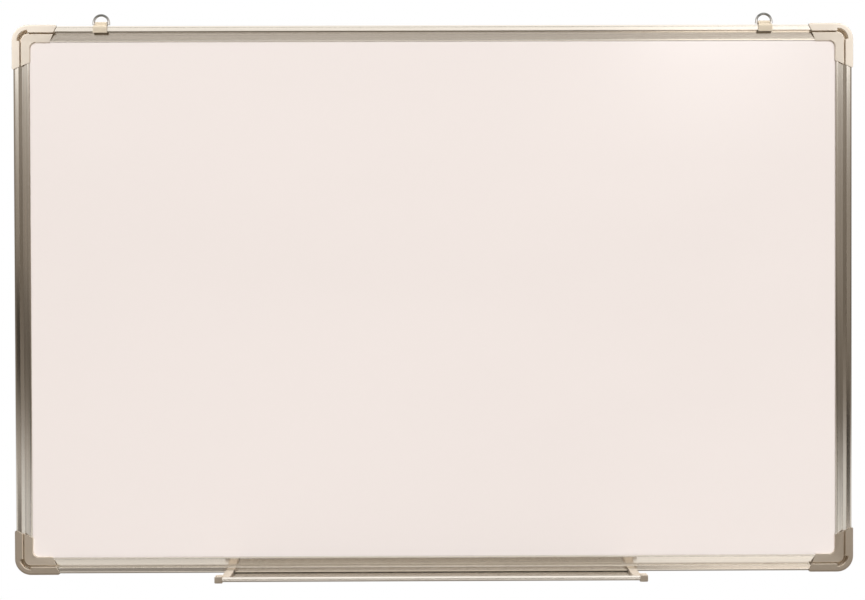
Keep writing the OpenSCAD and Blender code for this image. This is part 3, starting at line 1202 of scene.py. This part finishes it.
@dataclass(frozen=True)
class Floor:
    """Pale floor below the board, which keeps its shadow and shows bright in gloss towards the front."""

    width: float = 7.0
    depth: float = 4.6
    drop: float = 1.05
    colour: Colour = (0.86, 0.85, 0.84)
    clouds: float = 1.5
    cloud_tones: Span = Span(0.99, 1.01)
    roughness: float = 0.9
    reflection: float = 0.1
    seen: float = 0.62
    mirrored: float = 0.9
    front: Span = Span(-1.0, -0.4)
    right: Span = Span(0.1, 0.6)
    right_gain: float = 1.3

    def lay(self) -> bpy.types.Object:
        """Makes the floor's flat mesh.

        Returns:
            The floor, marked as stage.
        """
        mesh = bmesh.new()
        bmesh.ops.create_grid(mesh, x_segments=1, y_segments=1, size=0.5)
        bmesh.ops.scale(mesh, vec=(self.width, self.depth, 1.0), verts=mesh.verts)
        bmesh.ops.translate(mesh, vec=(0.0, 0.0, -self.drop), verts=mesh.verts)
        data = bpy.data.meshes.new("floor")
        mesh.to_mesh(data)
        mesh.free()
        piece = bpy.data.objects.new("floor", data)
        bpy.context.scene.collection.objects.link(piece)
        piece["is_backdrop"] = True
        return piece

    def build(self) -> None:
        """Lays the floor and gives it its finish."""
        graph = MaterialGraph("pale_floor")
        cloud = graph.pattern(graph.even(self.clouds), detail=3.0)
        graph.tones(cloud, self.colour, self.cloud_tones)
        graph.constant(Roughness=self.roughness, Specular_IOR_Level=self.reflection,
                       Emission_Color=(*WHITE, 1.0))
        path = graph.node("ShaderNodeLightPath")
        place = graph.split(graph.even(1.0))
        front = graph.spread(place.outputs["Y"], self.mirrored, 0.0, self.front)
        right = graph.spread(place.outputs["X"], 1.0, self.right_gain, self.right)
        mirrored = graph.sum("MULTIPLY", path.outputs["Is Glossy Ray"], graph.sum("MULTIPLY", front, right))
        clear = graph.sum("MAXIMUM", path.outputs["Is Camera Ray"], path.outputs["Is Transmission Ray"])
        glow = graph.sum("MULTIPLY_ADD", clear, self.seen, mirrored)
        graph.link(glow, graph.shader.inputs["Emission Strength"])
        dress(self.lay(), graph.material)


@dataclass(frozen=True)
class Studio:
    """Plain studio: surround, floor and soft lamps."""

    surround: Surround = Surround()
    floor: Floor = Floor()
    front: FrontLight = FrontLight()
    strip_above: Lamp = Lamp("strip_above", place=(-0.02, -0.48, 0.62), aim=(0.0, 0.0, 0.3), width=1.5,
                             height=0.12, power=4.0, spread=114.0, mirrored=False, colour=DAYLIGHT)
    strip_right: Lamp = Lamp("strip_right", place=(0.66, -0.48, 0.62), aim=(0.56, 0.0, 0.3), width=0.28,
                             height=0.12, power=1.7, spread=104.0, mirrored=False, colour=DAYLIGHT)
    low_left: Lamp = Lamp("low_left", place=(0.0, -0.05, 0.1), aim=(0.0, -0.05, -0.5), width=0.2,
                          height=0.05, power=2.6, mirrored=False)
    low_right: Lamp = Lamp("low_right", place=(0.44, -0.05, 0.1), aim=(0.44, -0.05, -0.5), width=0.2,
                           height=0.05, power=0.4, mirrored=False)
    window: Lamp = Lamp("window", place=(0.82, -2.5, 0.72), aim=(0.3, 0.0, 0.25), width=0.36,
                        height=0.2, power=3.2, shines=False)
    overhead: Lamp = Lamp("overhead", place=(0.0, -0.06, 1.1), aim=(0.0, -0.04, -0.3), width=1.4,
                          height=0.1, power=4.0, spread=140.0, mirrored=False)
    rear_fill: Lamp = Lamp("rear_fill", place=(0.0, 2.2, 1.0), aim=(0.0, 0.0, 0.0), width=2.0,
                           height=1.4, power=24.0, mirrored=False)

    def light_caps(self, caps: list[bpy.types.Object]) -> None:
        """Lights the caps from outside each side, and the lower ones along the board from above.

        Args:
            caps: The four caps.
        """
        strip_left = self.strip_right.across_from("strip_left")
        for hand, strip, low in ((Side.LEFT, strip_left, self.low_left),
                                 (Side.RIGHT, self.strip_right, self.low_right)):
            strip.build([cap for cap in caps if hand.label in cap.name])
            low.build([cap for cap in caps if f"bottom_{hand.label}" in cap.name])

    def build(self, sheet: list[bpy.types.Object], caps: list[bpy.types.Object],
              fittings: list[bpy.types.Object]) -> None:
        """Sets the stage and the lamps.

        Args:
            sheet: The writing sheet.
            caps: The four caps.
            fittings: The clips, rings, tray and tray ends.
        """
        self.surround.build()
        self.floor.build()
        self.front.build(sheet)
        self.strip_above.build(fittings)
        self.light_caps(caps)
        self.window.build(sheet)
        self.overhead.build(fittings)
        self.rear_fill.build()
        bpy.context.scene.view_settings.view_transform = "Standard"
        LOG.info("studio set")


def clear_defaults() -> None:
    """Removes what Blender starts with, and leaves the frame."""
    kept = set(frame["nodes"].values()) | set(frame["bodies"].values())
    for thing in list(bpy.data.objects):
        if thing not in kept:
            bpy.data.objects.remove(thing)


def corners() -> list[list[float]]:
    """Gives the shown object's lowest and highest corner as plain lists."""
    return [list(corner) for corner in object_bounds()]


def main() -> None:
    logging.basicConfig(level=logging.INFO, format="%(name)s: %(message)s")
    clear_defaults()
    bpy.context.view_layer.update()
    plastic = Moulded().make()
    sheet = WritingPanel().build()
    DrawnFrame().build()
    caps = MouldedCorners().build(plastic)
    fittings = Hangers().build() + PenTray().build(plastic)
    Viewpoint().build()
    Studio().build(sheet, caps, fittings)


if __name__ == "__main__":
    main()
